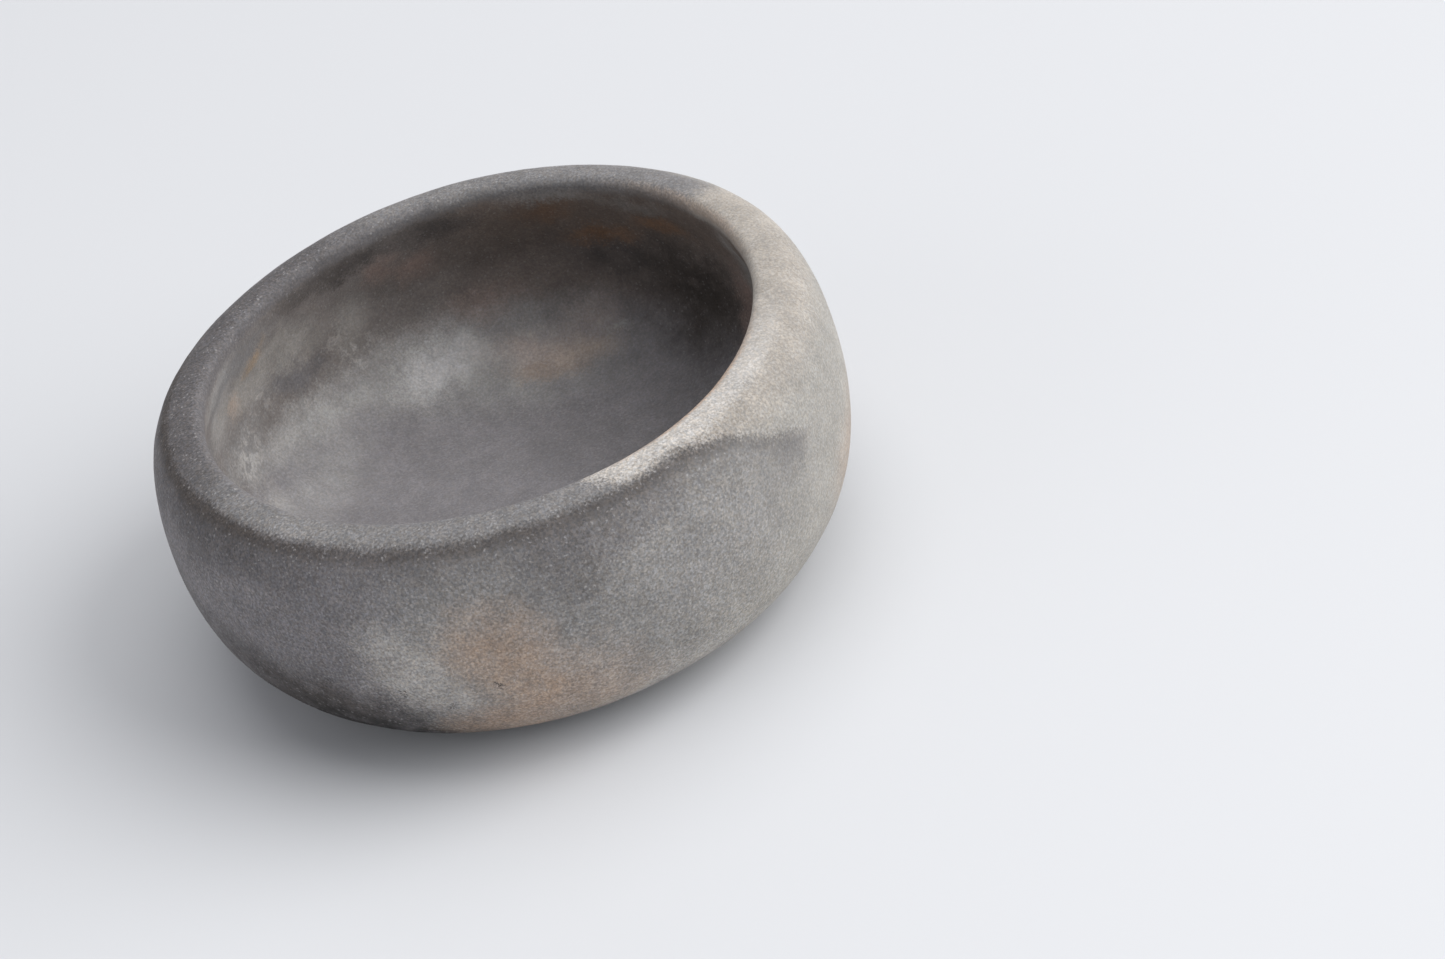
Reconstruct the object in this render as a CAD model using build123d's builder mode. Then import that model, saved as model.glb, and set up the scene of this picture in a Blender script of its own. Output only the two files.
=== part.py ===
from build123d import *
import os

# Shallow hand-made clay crucible: a small, thick-walled, unglazed bowl with an in-turned rim.
# It is one piece of fired clay, so the whole object is the single solid "bowl".
#
# Frame, in millimetres: the origin is the centre of the flat underside, and +Z points up
# through the mouth. The bowl is turned about Z, so X and Y may be taken anyhow.

# Driving dimensions
BELLY_RADIUS = 45.0  # widest part of the outer wall
BELLY_HEIGHT = 20.0  # height of that widest part above the underside
BOWL_HEIGHT = 35.5  # from the underside to the crest of the rim
UNDERSIDE_RADIUS = 24.5  # flat circle that the bowl stands on
MOUTH_RADIUS = 36.0  # opening at the inner edge of the rim
LIP_RADIUS = 1.2  # small round of the rim's inner edge
WALL_THICKNESS = 5.8  # at the belly
FLOOR_THICKNESS = 6.5  # at the middle of the bowl
INSIDE_FLOOR_RADIUS = 21.0  # flat part of the inside floor

# Fullness of the curves: how far each end's tangent reaches towards the next point
OUTER_TURN_OUT = 14.0  # from the underside, outwards
OUTER_TURN_DOWN = 13.0  # from the belly, down towards the underside
SHOULDER_UP = 13.8  # from the belly, up towards the rim
CREST_OUT = 4.0  # from the crest of the rim, outwards
INNER_LIP_DOWN = 4.5  # from the lip, down the inside
INNER_BELLY_UP = 8.0  # from the inner belly, up towards the lip
INNER_TURN_DOWN = 8.5  # from the inner belly, down towards the inside floor
INNER_TURN_OUT = 12.0  # from the inside floor, outwards

# Places that follow from them
CREST_RADIUS = MOUTH_RADIUS + LIP_RADIUS
INNER_BELLY_RADIUS = BELLY_RADIUS - WALL_THICKNESS
LIP_BOTTOM_HEIGHT = BOWL_HEIGHT - LIP_RADIUS


def outer_outline():
    """Half outline of the outside, from the middle of the underside up to the crest of the rim."""
    underside = Line((0, 0), (UNDERSIDE_RADIUS, 0))
    turn = Bezier(
        underside @ 1,
        (UNDERSIDE_RADIUS + OUTER_TURN_OUT, 0),
        (BELLY_RADIUS, BELLY_HEIGHT - OUTER_TURN_DOWN),
        (BELLY_RADIUS, BELLY_HEIGHT),
    )
    Bezier(
        turn @ 1,
        (BELLY_RADIUS, BELLY_HEIGHT + SHOULDER_UP),
        (CREST_RADIUS + CREST_OUT, BOWL_HEIGHT),
        (CREST_RADIUS, BOWL_HEIGHT),
    )


def inner_outline():
    """Half outline of the inside, from the crest of the rim down to the middle of the floor."""
    lip = JernArc(start=(CREST_RADIUS, BOWL_HEIGHT), tangent=(-1, 0), radius=LIP_RADIUS, arc_size=90)
    wall = Bezier(
        lip @ 1,
        (MOUTH_RADIUS, LIP_BOTTOM_HEIGHT - INNER_LIP_DOWN),
        (INNER_BELLY_RADIUS, BELLY_HEIGHT + INNER_BELLY_UP),
        (INNER_BELLY_RADIUS, BELLY_HEIGHT),
    )
    turn = Bezier(
        wall @ 1,
        (INNER_BELLY_RADIUS, BELLY_HEIGHT - INNER_TURN_DOWN),
        (INSIDE_FLOOR_RADIUS + INNER_TURN_OUT, FLOOR_THICKNESS),
        (INSIDE_FLOOR_RADIUS, FLOOR_THICKNESS),
    )
    Line(turn @ 1, (0, FLOOR_THICKNESS))


# The bowl: its half section, turned once about Z
with BuildPart() as bowl:
    with BuildSketch(Plane.XZ) as half_section:
        with BuildLine() as outline:
            outer_outline()
            inner_outline()
            Line((0, FLOOR_THICKNESS), (0, 0))
        make_face()
    revolve(axis=Axis.Z, revolution_arc=360)

bowl.part.label = "bowl"

os.makedirs("parts", exist_ok=True)
export_step(bowl.part, "parts/bowl.step")
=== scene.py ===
import math

import bpy
import numpy as np
from mathutils import Matrix, Quaternion, Vector, noise


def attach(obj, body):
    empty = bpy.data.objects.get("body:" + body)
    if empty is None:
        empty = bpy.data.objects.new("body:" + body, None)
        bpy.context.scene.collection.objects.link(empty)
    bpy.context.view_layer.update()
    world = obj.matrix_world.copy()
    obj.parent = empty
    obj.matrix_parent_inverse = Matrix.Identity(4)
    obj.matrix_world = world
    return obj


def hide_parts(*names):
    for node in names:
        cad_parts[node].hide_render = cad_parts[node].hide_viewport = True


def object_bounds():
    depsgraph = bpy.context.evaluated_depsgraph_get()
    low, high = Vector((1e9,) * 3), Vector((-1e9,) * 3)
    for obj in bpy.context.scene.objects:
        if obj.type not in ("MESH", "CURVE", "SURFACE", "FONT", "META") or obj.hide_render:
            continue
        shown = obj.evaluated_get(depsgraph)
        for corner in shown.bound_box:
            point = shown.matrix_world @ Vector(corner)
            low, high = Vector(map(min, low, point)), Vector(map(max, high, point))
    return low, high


# A shallow clay crucible: one thick-walled, unglazed, smoke-fired bowl, standing on a pale floor.
# Sizes are in metres, in the row frame, except where a name or comment says millimetres. The bowl is
# turned about Z, and the main camera looks from the -Y side.

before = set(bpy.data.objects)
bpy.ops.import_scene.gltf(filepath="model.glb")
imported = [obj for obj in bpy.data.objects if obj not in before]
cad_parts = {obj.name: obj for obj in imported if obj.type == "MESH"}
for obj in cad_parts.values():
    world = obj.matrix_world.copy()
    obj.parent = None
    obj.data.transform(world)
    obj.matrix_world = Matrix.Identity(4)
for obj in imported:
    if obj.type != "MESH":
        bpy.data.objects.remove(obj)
CAD_LOW, CAD_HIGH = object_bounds()

MM = 0.001

# ---------------------------------------------------------------------------------------------
# Sizes, from the CAD model's box. The shares are those of the CAD outline
# ---------------------------------------------------------------------------------------------
BELLY_RADIUS = (CAD_HIGH.x - CAD_LOW.x) / 2
BOWL_HEIGHT = CAD_HIGH.z - CAD_LOW.z
BELLY_HEIGHT = 0.4444 * BELLY_RADIUS
UNDERSIDE_RADIUS = 0.5444 * BELLY_RADIUS
MOUTH_RADIUS = 0.8 * BELLY_RADIUS
LIP_RADIUS = 0.0267 * BELLY_RADIUS
WALL_THICKNESS = 0.1289 * BELLY_RADIUS
FLOOR_THICKNESS = 0.1444 * BELLY_RADIUS
INSIDE_FLOOR_RADIUS = 0.4667 * BELLY_RADIUS
CREST_RADIUS = MOUTH_RADIUS + LIP_RADIUS
INNER_BELLY_RADIUS = BELLY_RADIUS - WALL_THICKNESS

# How far each curve's end tangent reaches
OUTER_TURN_OUT = 0.3111 * BELLY_RADIUS
OUTER_TURN_DOWN = 0.2889 * BELLY_RADIUS
SHOULDER_UP = 0.3067 * BELLY_RADIUS
CREST_OUT = 0.0889 * BELLY_RADIUS
INNER_LIP_DOWN = 0.1 * BELLY_RADIUS
INNER_BELLY_UP = 0.1778 * BELLY_RADIUS
INNER_TURN_DOWN = 0.1889 * BELLY_RADIUS
INNER_TURN_OUT = 0.2667 * BELLY_RADIUS

SPOKES = 400  # mesh columns round the bowl
RIM_BLEND = 2.5  # millimetres past the rim's crest over which outside colours turn into inside ones
STANDING_HEIGHT = 0.2 * MM  # below this height, the surface gets no lumps


# ---------------------------------------------------------------------------------------------
# Camera: at the photograph's angle to the bowl, which leans there, so the camera is rolled
# ---------------------------------------------------------------------------------------------
CAMERA_DISTANCE = 0.489  # from the middle of the underside
CAMERA_ELEVATION = 35.8  # degrees above the plane of the rim
CAMERA_ROLL = 15.6  # degrees, so that the bowl's axis leans to the left
CAMERA_AIM = Vector((0.533 * BELLY_RADIUS, -0.52 * BELLY_RADIUS, BELLY_HEIGHT))
CAMERA_LENS = 92.2  # millimetres, as is the sensor's width
SENSOR_WIDTH = 36
CAMERA_NEAREST = 0.01  # nothing closer than this is drawn


def make_camera():
    """The main camera. It aims to the right of the bowl, which is left of the middle of the picture."""
    data = bpy.data.cameras.new("camera")
    data.lens = CAMERA_LENS
    data.sensor_width = SENSOR_WIDTH
    data.clip_start = CAMERA_NEAREST
    camera = bpy.data.objects.new("camera", data)
    bpy.context.scene.collection.objects.link(camera)
    up = math.radians(CAMERA_ELEVATION)
    camera.location = Vector((0, -math.cos(up), math.sin(up))) * CAMERA_DISTANCE
    look = (CAMERA_AIM - camera.location).normalized()
    camera.rotation_mode = "QUATERNION"
    roll = Quaternion(look, math.radians(CAMERA_ROLL))
    camera.rotation_quaternion = roll @ look.to_track_quat("-Z", "Y")
    bpy.context.scene.camera = camera


# ---------------------------------------------------------------------------------------------
# Bowl mesh
# ---------------------------------------------------------------------------------------------
def bezier(start, leave, arrive, end, rows):
    """Points of a cubic curve, without its first point."""
    t = np.linspace(0, 1, rows + 1)[1:, None]
    start, leave, arrive, end = (np.array(p, float) for p in (start, leave, arrive, end))
    return (1 - t) ** 3 * start + 3 * (1 - t) ** 2 * t * leave + 3 * (1 - t) * t**2 * arrive + t**3 * end


def straight(start, end, rows):
    """Points of a straight line, without its first point."""
    t = np.linspace(0, 1, rows + 1)[1:, None]
    return np.array(start, float) * (1 - t) + np.array(end, float) * t


def half_section():
    """(radius, height) rows of the outline, and how many of them are outside.

    The rows run from the underside's middle, up the outside, round the rim and down to the middle of
    the inside floor.
    """
    belly = (BELLY_RADIUS, BELLY_HEIGHT)
    inner_belly = (INNER_BELLY_RADIUS, BELLY_HEIGHT)
    crest = (CREST_RADIUS, BOWL_HEIGHT)
    lip_bottom = (MOUTH_RADIUS, BOWL_HEIGHT - LIP_RADIUS)
    underside = straight((0, 0), (UNDERSIDE_RADIUS, 0), rows=20)
    outer_turn = bezier(
        (UNDERSIDE_RADIUS, 0),
        (UNDERSIDE_RADIUS + OUTER_TURN_OUT, 0),
        (BELLY_RADIUS, BELLY_HEIGHT - OUTER_TURN_DOWN),
        belly,
        rows=48,
    )
    shoulder = bezier(
        belly,
        (BELLY_RADIUS, BELLY_HEIGHT + SHOULDER_UP),
        (CREST_RADIUS + CREST_OUT, BOWL_HEIGHT),
        crest,
        rows=40,
    )
    lip_rows = 8
    turn = np.linspace(0, math.pi / 2, lip_rows + 1)[1:, None]
    lip_radii = CREST_RADIUS - LIP_RADIUS * np.sin(turn)
    lip_heights = BOWL_HEIGHT - LIP_RADIUS * (1 - np.cos(turn))
    lip = np.hstack((lip_radii, lip_heights))
    wall = bezier(
        lip_bottom,
        (MOUTH_RADIUS, BOWL_HEIGHT - LIP_RADIUS - INNER_LIP_DOWN),
        (INNER_BELLY_RADIUS, BELLY_HEIGHT + INNER_BELLY_UP),
        inner_belly,
        rows=26,
    )
    inner_turn = bezier(
        inner_belly,
        (INNER_BELLY_RADIUS, BELLY_HEIGHT - INNER_TURN_DOWN),
        (INSIDE_FLOOR_RADIUS + INNER_TURN_OUT, FLOOR_THICKNESS),
        (INSIDE_FLOOR_RADIUS, FLOOR_THICKNESS),
        rows=40,
    )
    inside_floor = straight((INSIDE_FLOOR_RADIUS, FLOOR_THICKNESS), (0, FLOOR_THICKNESS), rows=18)
    outside = np.vstack(([[0, 0]], underside, outer_turn, shoulder))
    return np.vstack((outside, lip, wall, inner_turn, inside_floor)), len(outside)


def distances(section):
    """How far each row of the section is from its first, in millimetres along the outline."""
    steps = np.linalg.norm(np.diff(section, axis=0), axis=1)
    return np.concatenate(([0], np.cumsum(steps))) / MM


# Waves round the bowl: height in millimetres, how many of them, and shift in radians
OUT_OF_ROUND = ((0.16, 2, 0.7), (0.12, 3, -1.0), (0.06, 5, 2.2))
RIM_WAVES = ((0.14, 1, -2.1), (0.12, 2, 1.9), (0.07, 4, 0.0))
EVEN_SHARE = 0.6  # the middle of the underside, up to this share of its radius, stays round

# Lumps and scrapes of the worked clay, in millimetres: how deep and how wide
LUMPS = ((0.07, 9), (0.03, 3.5), (0.018, 1.4))


def waves(azimuth, parts):
    """All the waves together, in millimetres."""
    return sum(height * np.cos(count * azimuth + start) for height, count, start in parts)


def hand_made(points, azimuth):
    """Slight unevenness of a bowl made by hand: a little out of round, with a rim that rises and falls."""
    radius = np.hypot(points[:, 0], points[:, 1])
    height = points[:, 2]
    up = height / BOWL_HEIGHT
    outwards = np.clip(radius / UNDERSIDE_RADIUS - EVEN_SHARE, 0, 1)
    grown = 1 + waves(azimuth, OUT_OF_ROUND) * MM / BELLY_RADIUS * outwards
    moved = points.copy()
    moved[:, 0] *= grown
    moved[:, 1] *= grown
    moved[:, 2] = height + waves(azimuth, RIM_WAVES) * MM * up**2
    return moved


def add_unevenness(points, normals):
    """Moves the surface in and out by its lumps, but not where the bowl stands."""
    depth = np.zeros(len(points))
    for i, point in enumerate(points):
        place = Vector(point) / MM
        depth[i] = sum(deep * noise.noise(place / wide) for deep, wide in LUMPS)
    depth[points[:, 2] < STANDING_HEIGHT] = 0
    return points + normals * (depth * MM)[:, None]


def store(mesh, name, values):
    """Keeps one number for each vertex, for the material to read."""
    mesh.attributes.new(name, "FLOAT", "POINT").data.foreach_set("value", values.astype(np.float32))


def turned(rows, azimuth):
    """(radius, height) rows turned about Z, as X, Y, Z rows: all the spokes of the first row, and so on."""
    around = np.stack((np.sin(azimuth), -np.cos(azimuth)), 1)
    whole = np.empty((len(rows), SPOKES, 3))
    whole[..., :2] = rows[:, None, :1] * around[None]
    whole[..., 2] = rows[:, 1, None]
    return whole.reshape(-1, 3)


def bowl_faces(rings):
    """Quads between neighbouring rings, and a fan at each end, round one of the two last points."""
    bottom, top = rings * SPOKES, rings * SPOKES + 1
    faces = []
    for ring in range(rings - 1):
        here, above = ring * SPOKES, (ring + 1) * SPOKES
        for k in range(SPOKES):
            n = (k + 1) % SPOKES
            faces.append((here + k, here + n, above + n, above + k))
    last = (rings - 1) * SPOKES
    for k in range(SPOKES):
        n = (k + 1) % SPOKES
        faces.append((bottom, n, k))
        faces.append((top, last + k, last + n))
    return faces


def bowl_mesh():
    """The bowl. Each point keeps two numbers: `along`, and `inside`, which goes from 0 outside to 1."""
    section, outside_rows = half_section()
    along = distances(section)
    rings = section[1:-1]
    azimuth = np.arange(SPOKES) * 2 * math.pi / SPOKES
    tangent = np.gradient(rings, axis=0)
    normal = np.stack((tangent[:, 1], -tangent[:, 0]), 1)
    normal /= np.linalg.norm(normal, axis=1)[:, None]
    points = hand_made(turned(rings, azimuth), np.tile(azimuth, len(rings)))
    points = add_unevenness(points, turned(normal, azimuth))
    points = np.vstack((points, [[0, 0, 0], [0, 0, FLOOR_THICKNESS]]))

    mesh = bpy.data.meshes.new("clay_bowl")
    mesh.from_pydata(points.tolist(), [], bowl_faces(len(rings)))
    store(mesh, "along", np.concatenate((np.repeat(along[1:-1], SPOKES), [0, along[-1]])))
    way_in = np.clip((along - along[outside_rows - 1]) / RIM_BLEND, 0, 1)
    store(mesh, "inside", np.concatenate((np.repeat(way_in[1:-1], SPOKES), [0, 1])))
    mesh.polygons.foreach_set("use_smooth", np.ones(len(mesh.polygons), bool))
    mesh.update()
    return mesh


# ---------------------------------------------------------------------------------------------
# Clay
# ---------------------------------------------------------------------------------------------
def shade(code):
    """Linear colour from six sRGB hex digits."""
    parts = [int(code[i : i + 2], 16) / 255 for i in (0, 2, 4)]
    return tuple(p / 12.92 if p <= 0.04045 else ((p + 0.055) / 1.055) ** 2.4 for p in parts)


CLAY = shade("928f8a")  # clay that the smoke hardly touched, on the right
BEIGE = shade("9b958e")  # the rim's right side
LIGHT_CLAY = shade("a4a09c")
PALE = shade("b4b0ac")
PALE_ROSE = shade("aea29c")
FROST = shade("c2c0c0")  # pale sand grains, and the lightest clouds
LIGHT_GREY = shade("9c9a98")
GREY = shade("82807f")
VIOLET_GREY = shade("7f7c7e")
RIM_GREY = shade("757373")
SMOKE = shade("6a6768")
DARK_SMOKE = shade("585556")
SOOT = shade("4b4644")
BLACK = shade("3f3935")
CHAR_AND_CONTACT_SHADOW = shade("211f1e")  # the foot: blackened by smoke, and darkened further with painted contact shadow
PEACH = shade("a38f7f")
PALE_PEACH = shade("b3a294")
RUST = shade("7c5f48")
OCHRE = shade("9c8468")
ROSE = shade("87736b")
BROWN = shade("66594f")
TAN = shade("888480")
WALL_BROWN = shade("736a65")
WALL_GREY = shade("716b68")
WARM_GRAIN = (1.035, 1.0, 0.95)  # factors for red, green and blue
COOL_GRAIN = (0.975, 1.0, 1.03)

# Clouds that the smoke and the fire left, painted in this order. Those at the foot on the lower left
# also hold painted contact shadow. Each one: side of the wall, degrees round (0 faces the camera, 90 is
# right), millimetres along the section from the underside's middle, half width, half height, how far its
# top leans to the left in degrees, colour, strength, and how much of it is soft edge. Along the section,
# the belly is at 57, the rim's crest at 77, the inner belly at 94, and the inside floor starts at 119.
CLOUDS = (
    # outside, from left to right as the camera sees it
    ("outside", -80, 56, 12, 6, 0, SMOKE, 0.4, 0.9),
    # these three clouds are smoke on and above the foot at the lower left, made darker with painted contact
    # shadow
    ("outside", -58, 50.5, 19, 7.5, -10, DARK_SMOKE, 0.8, 0.9),
    ("outside", -46, 48, 17, 7, 0, SOOT, 0.95, 0.9),
    ("outside", -39, 41.5, 23, 8.5, 0, CHAR_AND_CONTACT_SHADOW, 0.95, 0.75),
    ("outside", -66, 70.5, 18, 4.5, 0, DARK_SMOKE, 0.7, 0.9),
    ("outside", -20, 64, 8, 6, 0, LIGHT_GREY, 0.4, 0.9),
    ("outside", -17, 55, 11, 10, 35, LIGHT_CLAY, 0.8, 0.8),
    ("outside", -26.5, 57, 7, 8.5, 40, PALE, 0.6, 0.6),
    ("outside", 12, 43.5, 14, 4.5, 0, LIGHT_CLAY, 0.7, 0.9),
    ("outside", -11, 58.5, 7, 8, 20, PEACH, 0.75, 0.9),
    ("outside", 1, 49, 9, 8, 10, PALE_PEACH, 0.5, 0.9),
    ("outside", -7, 50, 8, 7, 20, PEACH, 0.7, 0.9),
    ("outside", 3, 45, 9, 4.5, 0, PEACH, 0.3, 0.9),
    ("outside", -16, 45.5, 8, 4, 10, PEACH, 0.7, 0.9),
    ("outside", -11, 41.5, 9, 3.5, 0, PEACH, 0.7, 0.9),
    ("outside", 27, 63, 22, 13, 0, GREY, 0.8, 0.9),
    ("outside", 3, 67, 8, 7, 0, DARK_SMOKE, 0.6, 0.9),
    ("outside", 12, 70, 13, 3.5, 0, SMOKE, 0.6, 0.9),
    ("outside", 20, 58, 2.6, 2.2, 0, GREY, 0.8, 0.9),
    ("outside", 47, 63.5, 5, 2, 10, SMOKE, 0.4, 0.9),
    ("outside", 68, 51, 11, 6.5, 15, PEACH, 0.42, 0.9),
    ("outside", 33, 75, 8, 4, 0, PALE_PEACH, 0.3, 0.9),
    ("outside", -12.5, 54.2, 0.8, 0.5, 0, SOOT, 0.8, 0.7),
    ("outside", -28, 52.5, 0.5, 0.4, 0, SOOT, 0.9, 0.5),
    ("outside", -21, 50, 0.5, 0.35, 0, SOOT, 0.9, 0.5),
    # outside, back
    ("outside", 150, 62, 24, 16, 0, SMOKE, 0.8, 0.9),
    ("outside", 101, 53, 9, 13, -30, LIGHT_CLAY, 0.5, 0.9),
    ("outside", 90, 44, 14, 5, 0, GREY, 0.6, 0.9),
    ("outside", 112, 43, 11, 5, 10, ROSE, 0.4, 0.9),
    ("outside", 122, 50, 14, 8, -25, PEACH, 0.5, 0.9),
    ("outside", 174, 48, 13, 8, -15, LIGHT_CLAY, 0.8, 0.9),
    ("outside", -168, 67, 15, 7, 0, DARK_SMOKE, 0.6, 0.9),
    ("outside", -146, 57, 8, 13, 30, PALE, 0.7, 0.9),
    ("outside", -131, 51, 12, 9, 25, PEACH, 0.65, 0.9),
    ("outside", -112, 45, 17, 8, 0, SOOT, 0.8, 0.9),
    ("outside", -112, 64, 9, 6, 15, LIGHT_GREY, 0.5, 0.9),
    # underside
    ("outside", -70, 20, 18, 14, 0, SMOKE, 0.8, 0.9),
    ("outside", 60, 14, 12, 10, 0, LIGHT_CLAY, 0.6, 0.9),
    ("outside", 160, 22, 12, 6, 0, PEACH, 0.5, 0.9),
    # inside wall, from left to right as the camera sees it
    ("inside", -114, 88, 4.5, 8, 0, LIGHT_GREY, 0.6, 0.8),
    ("inside", -120, 82.5, 14, 3, 0, RIM_GREY, 0.85, 0.8),
    ("inside", -118, 98, 9, 3, 0, GREY, 0.8, 0.8),
    ("inside", -157, 92.5, 3.4, 6, -15, TAN, 0.85, 0.8),
    ("inside", -132, 88.5, 15, 5.2, 0, TAN, 0.95, 0.6),
    ("inside", -140, 93.2, 7, 2.6, -12, SMOKE, 0.9, 0.7),
    ("inside", -121, 95.5, 8, 2.6, 10, GREY, 0.7, 0.8),
    ("inside", -106, 91, 3, 6, 0, RIM_GREY, 0.7, 0.9),
    ("inside", -156, 80.3, 18, 3, 0, SOOT, 0.85, 0.9),
    ("inside", -176, 88.5, 14, 5, 0, BLACK, 0.35, 0.9),
    ("inside", -108, 80.5, 8, 2.4, 0, LIGHT_GREY, 0.5, 0.9),
    ("inside", 156, 80, 7, 2.4, 0, LIGHT_GREY, 0.6, 0.9),
    ("inside", -130, 85.5, 3, 1.6, 20, OCHRE, 0.6, 0.9),
    ("inside", -122, 89.5, 2, 3, 20, PEACH, 0.5, 0.9),
    ("inside", -155, 81.2, 4.5, 2.8, 0, SOOT, 0.8, 0.9),
    ("inside", -165, 85, 4, 3.2, 0, ROSE, 0.6, 0.9),
    ("inside", -174, 88, 4.5, 3.2, 0, ROSE, 0.55, 0.9),
    ("inside", -179, 82.3, 6.5, 2.6, 0, SOOT, 0.8, 0.8),
    ("inside", 164, 89.5, 9, 4.5, 0, BLACK, 0.35, 0.9),
    ("inside", 176, 97, 7.5, 2.6, 0, ROSE, 0.6, 0.9),
    ("inside", 158, 100, 9, 2.4, 0, RIM_GREY, 0.5, 0.9),
    ("inside", 145, 93, 9, 5, 0, SOOT, 0.8, 0.8),
    ("inside", 126, 100.5, 12, 7, 0, SOOT, 0.85, 0.9),
    ("inside", 127, 95, 11, 8.5, 0, BLACK, 0.95, 0.8),
    ("inside", 122, 108, 7, 8, 0, SMOKE, 0.5, 0.9),
    ("inside", 132, 85.5, 6, 2.6, 0, RUST, 0.75, 0.8),
    ("inside", 147, 88.6, 6.5, 2.2, 0, RUST, 0.75, 0.9),
    ("inside", 158, 83.5, 5, 2.6, 0, RUST, 0.5, 0.9),
    ("inside", 138, 81.3, 9, 1.8, 0, TAN, 0.5, 0.8),
    ("inside", 113, 94, 2.8, 8, 0, ROSE, 0.6, 0.9),
    ("inside", 107, 86, 4, 7, 0, TAN, 0.9, 0.8),
    # inside turn and floor
    ("inside", -142, 100.5, 16, 4.2, 0, LIGHT_GREY, 0.85, 0.8),
    ("inside", -130, 107, 16, 4.5, 0, LIGHT_GREY, 0.35, 0.9),
    ("inside", 178, 104, 16, 7.5, 0, LIGHT_GREY, 0.9, 0.9),
    ("inside", 170, 109.5, 19, 7, 0, LIGHT_GREY, 0.65, 0.9),
    ("inside", 155, 102, 6, 4, 0, PALE_ROSE, 0.5, 0.9),
    ("inside", 159, 106, 8, 2.8, 0, PALE_PEACH, 0.65, 0.9),
    ("inside", 170, 104.8, 8, 4, 0, PALE_ROSE, 0.8, 0.9),
    ("inside", 165, 109, 7, 2.2, 0, PEACH, 0.55, 0.9),
    ("inside", -179, 106.5, 6, 4, 0, LIGHT_GREY, 0.8, 0.9),
    ("inside", -165, 102.5, 10, 6, 0, LIGHT_GREY, 0.9, 0.9),
    ("inside", -172, 104, 8, 4.5, 0, FROST, 0.85, 0.9),
    ("inside", 145.5, 103.6, 1.6, 1, 0, LIGHT_GREY, 0.8, 0.8),
    ("inside", -115, 105, 3, 6, -30, LIGHT_CLAY, 0.4, 0.9),
    ("inside", -124, 110, 14, 5, 0, LIGHT_GREY, 0.3, 0.9),
    ("inside", 150, 123, 14, 8, 0, SMOKE, 0.4, 0.9),
    ("inside", 55, 120, 13, 9, 20, RIM_GREY, 0.4, 0.9),
    # inside, the side nearest the camera
    ("inside", 25, 88, 12, 7, 0, TAN, 0.8, 0.8),
    ("inside", -35, 90, 12, 6, 0, BROWN, 0.6, 0.9),
    ("inside", -70, 94, 14, 6, 0, DARK_SMOKE, 0.8, 0.8),
    ("inside", 68, 90, 10, 7, 0, SOOT, 0.8, 0.8),
    ("inside", -8, 84, 5, 2.5, 0, RUST, 0.6, 0.9),
    ("inside", 40, 104, 9, 4, 0, LIGHT_GREY, 0.5, 0.9),
)

# Patches with a crust of pale flecks: as above, without colour and softness
CRUST_SOFTNESS = 0.7
CRUSTS = (
    ("inside", -157, 97, 2.8, 2.4, 0, 0.55),
    ("inside", -152, 93, 2.4, 1.8, 0, 0.4),
    ("inside", -120, 97, 6, 2.6, 15, 0.6),
    ("inside", -132, 93, 3.8, 1.8, 20, 0.4),
    ("inside", 147, 103.5, 4, 1.4, 15, 0.3),
)


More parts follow.
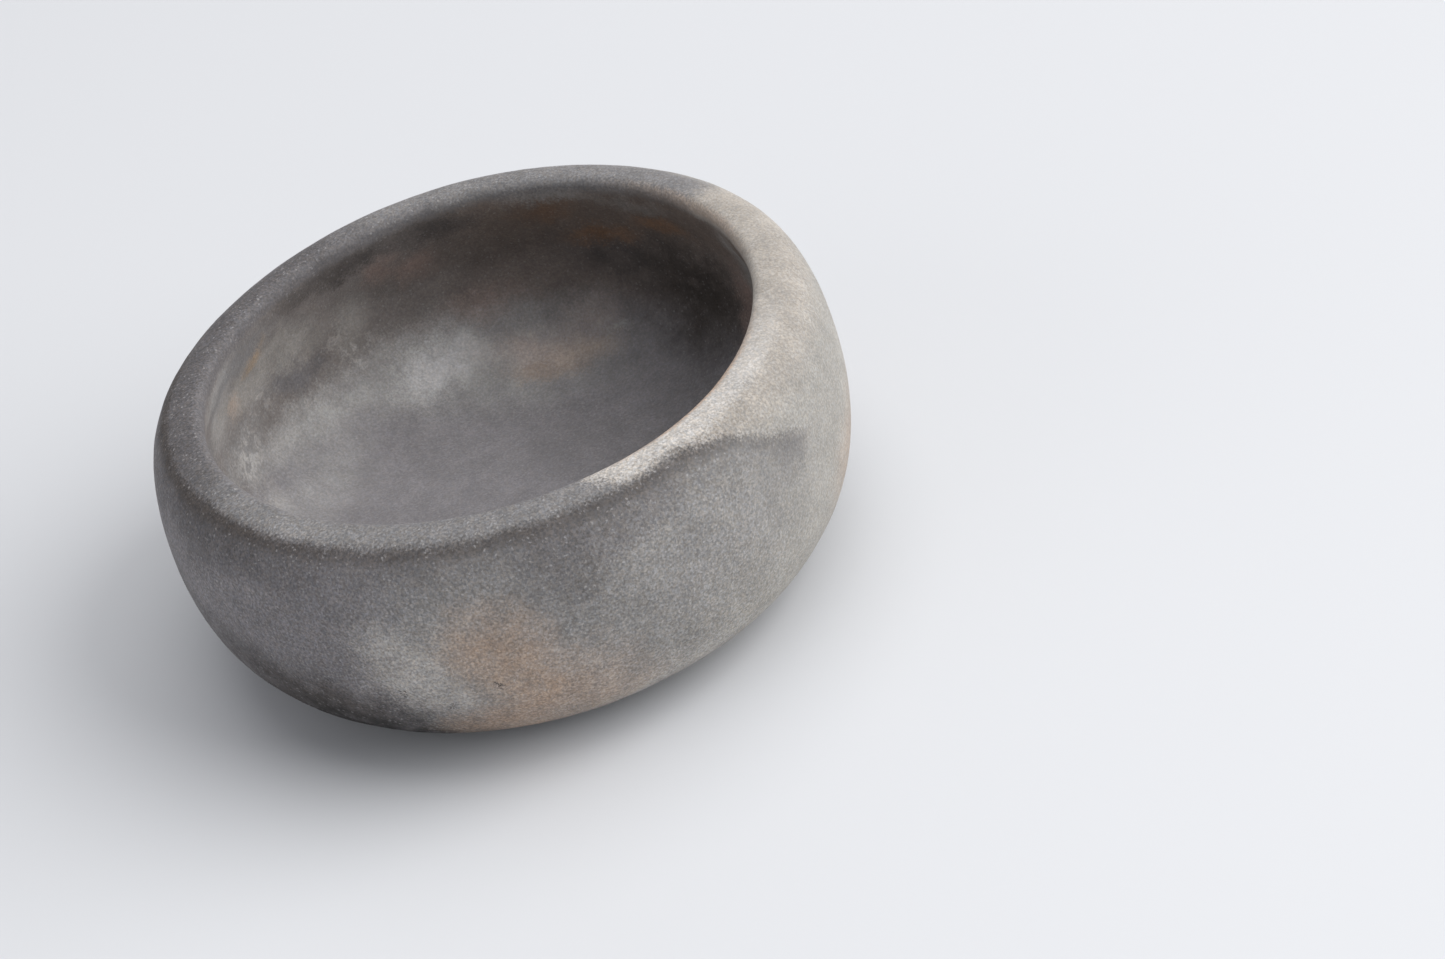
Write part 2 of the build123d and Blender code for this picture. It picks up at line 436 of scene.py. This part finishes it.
class Nodes:
    """Short ways to add and join the nodes of one shader tree. An input is a socket, a number or a tuple."""

    def __init__(self, tree):
        self.tree = tree

    def add(self, kind, **settings):
        """A new node with these properties."""
        node = self.tree.nodes.new(kind)
        for name, value in settings.items():
            setattr(node, name, value)
        return node

    def feed(self, socket, value):
        """Joins a socket to an input, or sets the input to a fixed value."""
        if isinstance(value, bpy.types.NodeSocket):
            self.tree.links.new(value, socket)
        else:
            socket.default_value = value

    def math(self, operation, *inputs):
        """The result of one operation on numbers."""
        node = self.add("ShaderNodeMath", operation=operation)
        for socket, value in zip(node.inputs, inputs):
            self.feed(socket, value)
        return node.outputs[0]

    def vector(self, operation, *inputs):
        """The result of one operation on vectors or colours."""
        node = self.add("ShaderNodeVectorMath", operation=operation)
        for socket, value in zip(node.inputs, inputs):
            self.feed(socket, value)
        return node.outputs["Vector"]

    def scaled(self, value, factor):
        """A vector or a colour, multiplied by one number."""
        node = self.add("ShaderNodeVectorMath", operation="SCALE")
        self.feed(node.inputs[0], value)
        self.feed(node.inputs["Scale"], factor)
        return node.outputs["Vector"]

    def times(self, first, *others):
        """All the numbers multiplied."""
        for other in others:
            first = self.math("MULTIPLY", first, other)
        return first

    def fade(self, value, start, end, low=0.0, high=1.0):
        """low at start, high at end, smooth in between."""
        node = self.add("ShaderNodeMapRange", interpolation_type="SMOOTHSTEP", clamp=False)
        for socket, given in zip(node.inputs, (value, start, end, low, high)):
            self.feed(socket, given)
        return node.outputs[0]

    def noise(self, place, size, detail=2.0, roughness=0.5):
        """Noise whose features are about size millimetres across."""
        node = self.add("ShaderNodeTexNoise")
        self.feed(node.inputs["Vector"], place)
        node.inputs["Scale"].default_value = 1 / size
        node.inputs["Detail"].default_value = detail
        node.inputs["Roughness"].default_value = roughness
        return node.outputs

    def cells(self, place, size):
        """Cells about size millimetres across, each with a random colour."""
        node = self.add("ShaderNodeTexVoronoi")
        self.feed(node.inputs["Vector"], place)
        node.inputs["Scale"].default_value = 1 / size
        return node.outputs

    def attribute(self, name):
        """A number that the mesh keeps for each vertex."""
        return self.add("ShaderNodeAttribute", attribute_name=name).outputs["Fac"]

    def band(self, value, start, full, fading, end):
        """0 outside start and end, 1 from full to fading."""
        return self.times(self.fade(value, start, full), self.fade(value, end, fading))

    def stripe(self, value, middle, half_width, core):
        """1 near the middle, up to core away from it, and 0 beyond half_width."""
        away = self.math("ABSOLUTE", self.math("SUBTRACT", value, middle))
        return self.fade(away, half_width, core)

    def xyz(self, place):
        """The three parts of a place."""
        node = self.add("ShaderNodeSeparateXYZ")
        self.feed(node.inputs[0], place)
        return node.outputs

    def rgb(self, colour):
        """The three parts of a colour."""
        node = self.add("ShaderNodeSeparateColor")
        self.feed(node.inputs[0], colour)
        return node.outputs

    def mix(self, factor, under, over):
        """The colour under, turned into the colour over where the factor is 1."""
        node = self.add("ShaderNodeMix", data_type="RGBA")
        for socket, value in zip((node.inputs[0], node.inputs[6], node.inputs[7]), (factor, under, over)):
            self.feed(socket, (*value, 1) if isinstance(value, tuple) else value)
        return node.outputs[2]


def section_place(azimuth, along):
    """Point on the bowl in millimetres, and a matrix of directions there.

    The matrix has three columns, which run across, along and out of the wall.
    """
    section, _ = half_section()
    run = distances(section)
    radius, height = (np.interp(along, run, section[:, i]) / MM for i in (0, 1))
    step = 0.2  # millimetres, to find the section's direction
    ahead = [np.interp(along + step, run, section[:, i]) / MM for i in (0, 1)]
    turn = math.radians(azimuth)
    out = Vector((math.sin(turn), -math.cos(turn), 0))
    across = Vector((math.cos(turn), math.sin(turn), 0))
    up = (out * (ahead[0] - radius) + Vector((0, 0, ahead[1] - height))).normalized()
    axes = Matrix((across, up, across.cross(up))).transposed()
    return out * radius + Vector((0, 0, height)), axes


def cloud_mask(nodes, place, azimuth, along, half_width, half_height, lean, softness):
    """1 in the middle of a cloud, 0 outside it: a ball that fades outwards, squeezed to the cloud's size."""
    centre, axes = section_place(azimuth, along)
    axes = axes @ Matrix.Rotation(math.radians(lean), 3, "Z")
    reach = 1 + 0.3 * softness  # a soft edge ends outside the cloud's own size
    depth = 5 + 0.35 * half_width  # deep enough for a wide cloud to follow the curved wall
    node = nodes.add("ShaderNodeMapping", vector_type="TEXTURE")
    nodes.feed(node.inputs["Vector"], place)
    node.inputs["Location"].default_value = centre
    node.inputs["Rotation"].default_value = axes.to_euler()
    node.inputs["Scale"].default_value = (reach * half_width, reach * half_height, reach * depth)
    ball = nodes.add("ShaderNodeTexGradient", gradient_type="SPHERICAL")
    nodes.feed(ball.inputs["Vector"], node.outputs[0])
    return nodes.fade(ball.outputs["Fac"], 0.0, 1 - (1 - softness) / reach)


def paint_clouds(nodes, colour, place, inside, blotches):
    """Mixes every cloud over the base tones. Blotches is a factor that breaks the clouds up."""
    inner = nodes.times(inside, blotches)
    sides = {"inside": inner, "outside": nodes.math("SUBTRACT", blotches, inner)}
    for side, azimuth, along, half_width, half_height, lean, over, strength, softness in CLOUDS:
        mask = cloud_mask(nodes, place, azimuth, along, half_width, half_height, lean, softness)
        colour = nodes.mix(nodes.times(mask, sides[side], strength), colour, over)
    return colour


# In the functions below, `around` is in degrees and `along` in millimetres, as in CLOUDS
RIM_END = 80.4  # along: where the rim's tones give way to those of the inside
SOOT_LINE = 73.3  # along: the top of the dark line under the rim, at the left and in front


def base_tones(nodes, around, rightward, along, inside):
    """The broad tones under the clouds: grey on the left, buff on the right, brown and grey inside."""
    right = nodes.band(around, -5.0, 42.0, 120.0, 165.0)
    colour = nodes.mix(nodes.fade(around, -40.0, -10.0), VIOLET_GREY, GREY)
    colour = nodes.mix(right, colour, CLAY)
    wall = nodes.mix(nodes.fade(along, 93.0, 85.0, high=0.6), WALL_BROWN, BROWN)
    wall = nodes.mix(rightward, WALL_GREY, wall)
    inner = nodes.mix(nodes.fade(along, 103.5, 96.0), VIOLET_GREY, wall)
    return nodes.mix(inside, colour, inner)


def grey_rim(nodes, colour, around, along):
    """The rim's grey: darker at the left, with painted shade on its inner half, and a faint painted
    highlight on its outer half at the front left.
    """
    rim = nodes.band(along, 72.0, 74.6, 78.4, RIM_END)
    left = nodes.band(around, -178.0, -146.0, -85.0, -55.0)
    colour = nodes.mix(rim, colour, nodes.mix(left, RIM_GREY, DARK_SMOKE))
    # painted shade: the rim's inner half darker, except on the right
    shaded_inner_half = nodes.band(along, 76.4, 78.2, 79.0, RIM_END)
    not_right = nodes.fade(around, 30.0, 10.0, high=0.6)
    colour = nodes.mix(nodes.times(shaded_inner_half, not_right), colour, SMOKE)
    # painted highlight: a faint lighter band on the rim's outer half at the front left
    highlit_outer_half = nodes.band(along, 73.2, 74.6, 75.8, 77.6)
    front_left = nodes.stripe(around, -42.0, 26.0, 4.0)
    return nodes.mix(nodes.times(highlit_outer_half, front_left, 0.15), colour, LIGHT_GREY)


def beige_rim(nodes, colour, around, along):
    """The beige part, from the near right to the far right, with a pale crown, an orange inner edge near the
    front, and a pale peach painted highlight along the far inner lip.
    """
    rising = nodes.fade(around, 3.0, 20.0, low=79.6, high=73.2)
    edge = nodes.math("SUBTRACT", rising, nodes.fade(around, 26.0, 54.0, high=9.3))
    above = nodes.fade(nodes.math("SUBTRACT", along, edge), -0.9, 2.8)
    above = nodes.times(above, nodes.fade(along, RIM_END, 79.2))
    beige = nodes.times(above, nodes.band(around, 1.0, 15.0, 113.0, 122.0))
    colour = nodes.mix(beige, colour, nodes.mix(nodes.fade(along, 66.0, 73.0), CLAY, BEIGE))
    crown = nodes.times(nodes.fade(along, 72.6, 75.0), nodes.fade(around, 82.0, 45.0))
    growing = nodes.fade(around, 2.0, 26.0, low=0.35, high=0.85)
    colour = nodes.mix(nodes.times(crown, beige, growing), colour, PALE)
    near = nodes.times(nodes.fade(around, 8.0, 34.0), nodes.fade(around, 75.0, 50.0, high=0.9))
    near_edge = nodes.stripe(along, 77.7, 1.1, 0.2)
    colour = nodes.mix(nodes.times(near_edge, near), colour, PEACH)
    # painted highlight: a thin pale peach line where the far inner lip catches the light
    far = nodes.times(nodes.fade(around, 85.0, 105.0), nodes.fade(around, 150.0, 110.0, high=0.6))
    far_lip_highlight = nodes.stripe(along, 78.4, 1.4, 0.2)
    return nodes.mix(nodes.times(far_lip_highlight, far), colour, PALE_PEACH)


def soot(nodes, colour, around, along):
    """The soft dark line under the rim, and the smoke that fades out below it.

    The line drops away at the right.
    """
    line = nodes.math("SUBTRACT", SOOT_LINE, nodes.fade(around, 27.0, 55.0, high=9.4))
    below = nodes.math("SUBTRACT", line, along)
    present = nodes.band(around, -150.0, -100.0, 40.0, 60.0)
    haze = nodes.times(nodes.fade(below, -0.9, 0.8), nodes.fade(below, 7.5, 0.0, high=0.75))
    haze = nodes.times(haze, nodes.fade(around, 22.0, 38.0, low=0.9, high=0.45))
    colour = nodes.mix(nodes.times(haze, present), colour, DARK_SMOKE)
    core = nodes.band(below, -1.1, 0.5, 0.7, 2.8)
    leftwards = nodes.fade(around, -30.0, -60.0, low=0.65, high=1.0)
    darkest = nodes.times(leftwards, nodes.fade(around, 28.0, 40.0, low=1.0, high=0.4))
    return nodes.mix(nodes.times(core, present, darkest), colour, SOOT)


def salt(nodes, colour, warped, place):
    """Crusts inside a few patches: small pale flecks and wandering pale lines."""
    flecks = nodes.fade(nodes.noise(place, 1.3, roughness=0.6)["Fac"], 0.5, 0.6, high=0.7)
    swell = nodes.noise(place, 4.0, roughness=0.6)["Fac"]
    lines = nodes.times(nodes.stripe(swell, 0.5, 0.06, 0.01), 0.7)
    crust = nodes.math("MAXIMUM", flecks, lines)
    for side, azimuth, along, half_width, half_height, lean, strength in CRUSTS:
        mask = cloud_mask(nodes, warped, azimuth, along, half_width, half_height, lean, CRUST_SOFTNESS)
        colour = nodes.mix(nodes.times(mask, crust, strength), colour, PALE)
    return colour


def centred(nodes, colour, span):
    """A noise colour as a shift of up to span millimetres each way, along each axis."""
    return nodes.scaled(nodes.vector("SUBTRACT", colour, (0.5, 0.5, 0.5)), 2 * span)


def jitter(nodes, fac, span):
    """A noise as a number between minus and plus half a span."""
    return nodes.times(nodes.math("SUBTRACT", fac, 0.5), span)


def clay_colour(nodes, place, fine):
    """The clay's colour before its grain.

    Noise shifts the places, so that every edge wanders and ends sandy.
    """
    broad = centred(nodes, nodes.noise(place, 9.0)["Color"], 3.2)
    sandy = centred(nodes, fine["Color"], 1.8)
    small = centred(nodes, nodes.noise(place, 2.4, detail=3.0)["Color"], 1.7)
    warped = nodes.vector("ADD", place, nodes.vector("ADD", nodes.vector("ADD", broad, sandy), small))
    parts = nodes.xyz(warped)
    towards_camera = nodes.times(parts["Y"], -1.0)
    around = nodes.math("DEGREES", nodes.math("ARCTAN2", parts["X"], towards_camera))
    rightward = nodes.fade(parts["X"], -10.0, 10.0)
    wander = jitter(nodes, nodes.noise(place, 6.0)["Fac"], 1.2)
    shift = nodes.math("ADD", jitter(nodes, fine["Fac"], 1.6), wander)
    along = nodes.math("ADD", nodes.attribute("along"), shift)
    inside = nodes.attribute("inside")
    uneven = nodes.noise(place, 2.6, detail=3.0, roughness=0.6)["Fac"]
    blotches = nodes.fade(uneven, 0.3, 0.62, low=0.72, high=1.12)
    colour = base_tones(nodes, around, rightward, along, inside)
    colour = paint_clouds(nodes, colour, warped, inside, blotches)
    colour = salt(nodes, colour, warped, place)
    colour = grey_rim(nodes, colour, around, along)
    colour = beige_rim(nodes, colour, around, along)
    return soot(nodes, colour, around, along)


# Sizes in millimetres
SAND_SIZE = 0.29
PALE_GRAIN_SIZE = 0.52
PALE_GRAIN_SHAKE = 0.35  # how far the outlines of the pale grains wander
PALE_GRAIN_STRENGTH = 0.36
INSIDE_CALM = 0.55  # share of the grain that is taken away inside
BUFF_CALM = 0.4  # and on the buff side


def sand_grain(nodes, plain, place, fine):
    """Sand of many tones, warm and cool, under a scatter of pale grains, on a broad mottle.

    It is finer inside and on the buff side.
    """
    mottle = nodes.noise(place, 5.0, detail=4.0, roughness=0.6)["Fac"]
    plain = nodes.scaled(plain, nodes.fade(mottle, 0.3, 0.7, low=0.91, high=1.1))
    sand = nodes.fade(fine["Fac"], 0.3, 0.7, low=0.8, high=1.22)
    grains = nodes.rgb(nodes.cells(place, SAND_SIZE)["Color"])
    tone = nodes.fade(grains["Red"], 0.0, 1.0, low=0.84, high=1.18)
    tint = nodes.mix(nodes.fade(grains["Green"], 0.0, 1.0), WARM_GRAIN, COOL_GRAIN)
    colour = nodes.vector("MULTIPLY", plain, tint)
    colour = nodes.scaled(colour, nodes.times(sand, tone))
    shaken = nodes.vector("ADD", place, centred(nodes, fine["Color"], PALE_GRAIN_SHAKE))
    specks = nodes.cells(shaken, PALE_GRAIN_SIZE)
    chosen = nodes.fade(nodes.rgb(specks["Color"])["Red"], 0.45, 1.0)
    pale = nodes.times(nodes.fade(specks["Distance"], 0.4, 0.14), chosen, PALE_GRAIN_STRENGTH)
    colour = nodes.mix(pale, colour, FROST)
    buff_side = nodes.fade(nodes.xyz(place)["X"], 18.0, 36.0, high=BUFF_CALM)
    calm = nodes.math("MAXIMUM", nodes.times(nodes.attribute("inside"), INSIDE_CALM), buff_side)
    return nodes.mix(calm, colour, plain)


BUMP_STRENGTH = 0.6
BUMP_DEPTH = 0.09 * MM
CLAY_SPECULAR = 0.35
CLAY_DIFFUSE_ROUGHNESS = 0.5


def clay_material():
    """Matt sandy clay. Every noise and place in it is in millimetres of the bowl's own frame."""
    material = bpy.data.materials.new("smoked_clay")
    material.use_nodes = True
    nodes = Nodes(material.node_tree)
    shader = material.node_tree.nodes["Principled BSDF"]
    place = nodes.scaled(nodes.add("ShaderNodeTexCoord").outputs["Object"], 1 / MM)
    fine = nodes.noise(place, 0.31, roughness=0.6)
    colour = clay_colour(nodes, place, fine)
    nodes.feed(shader.inputs["Base Color"], sand_grain(nodes, colour, place, fine))

    patchy = nodes.noise(place, 2.2, detail=3.0)["Fac"]
    nodes.feed(shader.inputs["Roughness"], nodes.fade(patchy, 0.3, 0.7, low=0.72, high=0.9))
    shader.inputs["Specular IOR Level"].default_value = CLAY_SPECULAR
    shader.inputs["Diffuse Roughness"].default_value = CLAY_DIFFUSE_ROUGHNESS

    dents = nodes.times(nodes.noise(place, 1.6, detail=3.0)["Fac"], 1.2)
    bump = nodes.add("ShaderNodeBump")
    bump.inputs["Strength"].default_value = BUMP_STRENGTH
    bump.inputs["Distance"].default_value = BUMP_DEPTH
    nodes.feed(bump.inputs["Height"], nodes.math("ADD", fine["Fac"], dents))
    nodes.feed(shader.inputs["Normal"], bump.outputs[0])
    return material


def make_bowl():
    """The one piece of the object. It stands in for the CAD bowl."""
    bowl = bpy.data.objects.new("clay_bowl", bowl_mesh())
    bpy.context.scene.collection.objects.link(bowl)
    bowl.data.materials.append(clay_material())
    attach(bowl, "root")
    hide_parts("bowl")


# ---------------------------------------------------------------------------------------------
# Studio
# ---------------------------------------------------------------------------------------------
FLOOR_HALF_WIDTH = 3.0
FLOOR_COLOUR = (0.6, 0.606, 0.62, 1)
FLOOR_ROUGHNESS = 0.3
FLOOR_SPECULAR = 0.25
SKY_COLOUR = (0.92, 0.94, 1.0, 1)
SKY_STRENGTH = 0.4
LIGHT_DISTANCE = 2.0


def make_floor():
    """A wide pale floor with a faint gloss."""
    corners = ((-1, -1), (1, -1), (1, 1), (-1, 1))
    points = [(x * FLOOR_HALF_WIDTH, y * FLOOR_HALF_WIDTH, 0) for x, y in corners]
    mesh = bpy.data.meshes.new("floor")
    mesh.from_pydata(points, [], [(0, 1, 2, 3)])
    floor = bpy.data.objects.new("floor", mesh)
    bpy.context.scene.collection.objects.link(floor)
    material = bpy.data.materials.new("white_floor")
    material.use_nodes = True
    shader = material.node_tree.nodes["Principled BSDF"]
    shader.inputs["Base Color"].default_value = FLOOR_COLOUR
    shader.inputs["Roughness"].default_value = FLOOR_ROUGHNESS
    shader.inputs["Specular IOR Level"].default_value = FLOOR_SPECULAR
    mesh.materials.append(material)


def make_world():
    """Even light from all round, slightly blue."""
    world = bpy.data.worlds.new("studio")
    bpy.context.scene.world = world
    world.use_nodes = True
    background = world.node_tree.nodes["Background"]
    background.inputs["Color"].default_value = SKY_COLOUR
    background.inputs["Strength"].default_value = SKY_STRENGTH


def make_light(name, azimuth, elevation, size, energy):
    """A soft disc of light that faces the bowl.

    Azimuth 0 is the camera's side and 90 the right. The size is in metres and the energy in watts.
    """
    data = bpy.data.lights.new(name, "AREA")
    data.shape = "DISK"
    data.size = size
    data.energy = energy
    light = bpy.data.objects.new(name, data)
    bpy.context.scene.collection.objects.link(light)
    turn, up = math.radians(azimuth), math.radians(elevation)
    towards = Vector((math.sin(turn) * math.cos(up), -math.cos(turn) * math.cos(up), math.sin(up)))
    light.location = towards * LIGHT_DISTANCE
    light.rotation_mode = "QUATERNION"
    light.rotation_quaternion = towards.to_track_quat("Z", "Y")


bpy.context.scene.view_settings.view_transform = "Standard"
make_camera()
make_bowl()
make_floor()
make_world()
make_light("window", azimuth=72, elevation=32, size=2.2, energy=52)
make_light("ceiling", azimuth=120, elevation=74, size=2.4, energy=24)
make_light("fill", azimuth=285, elevation=18, size=2.0, energy=7)
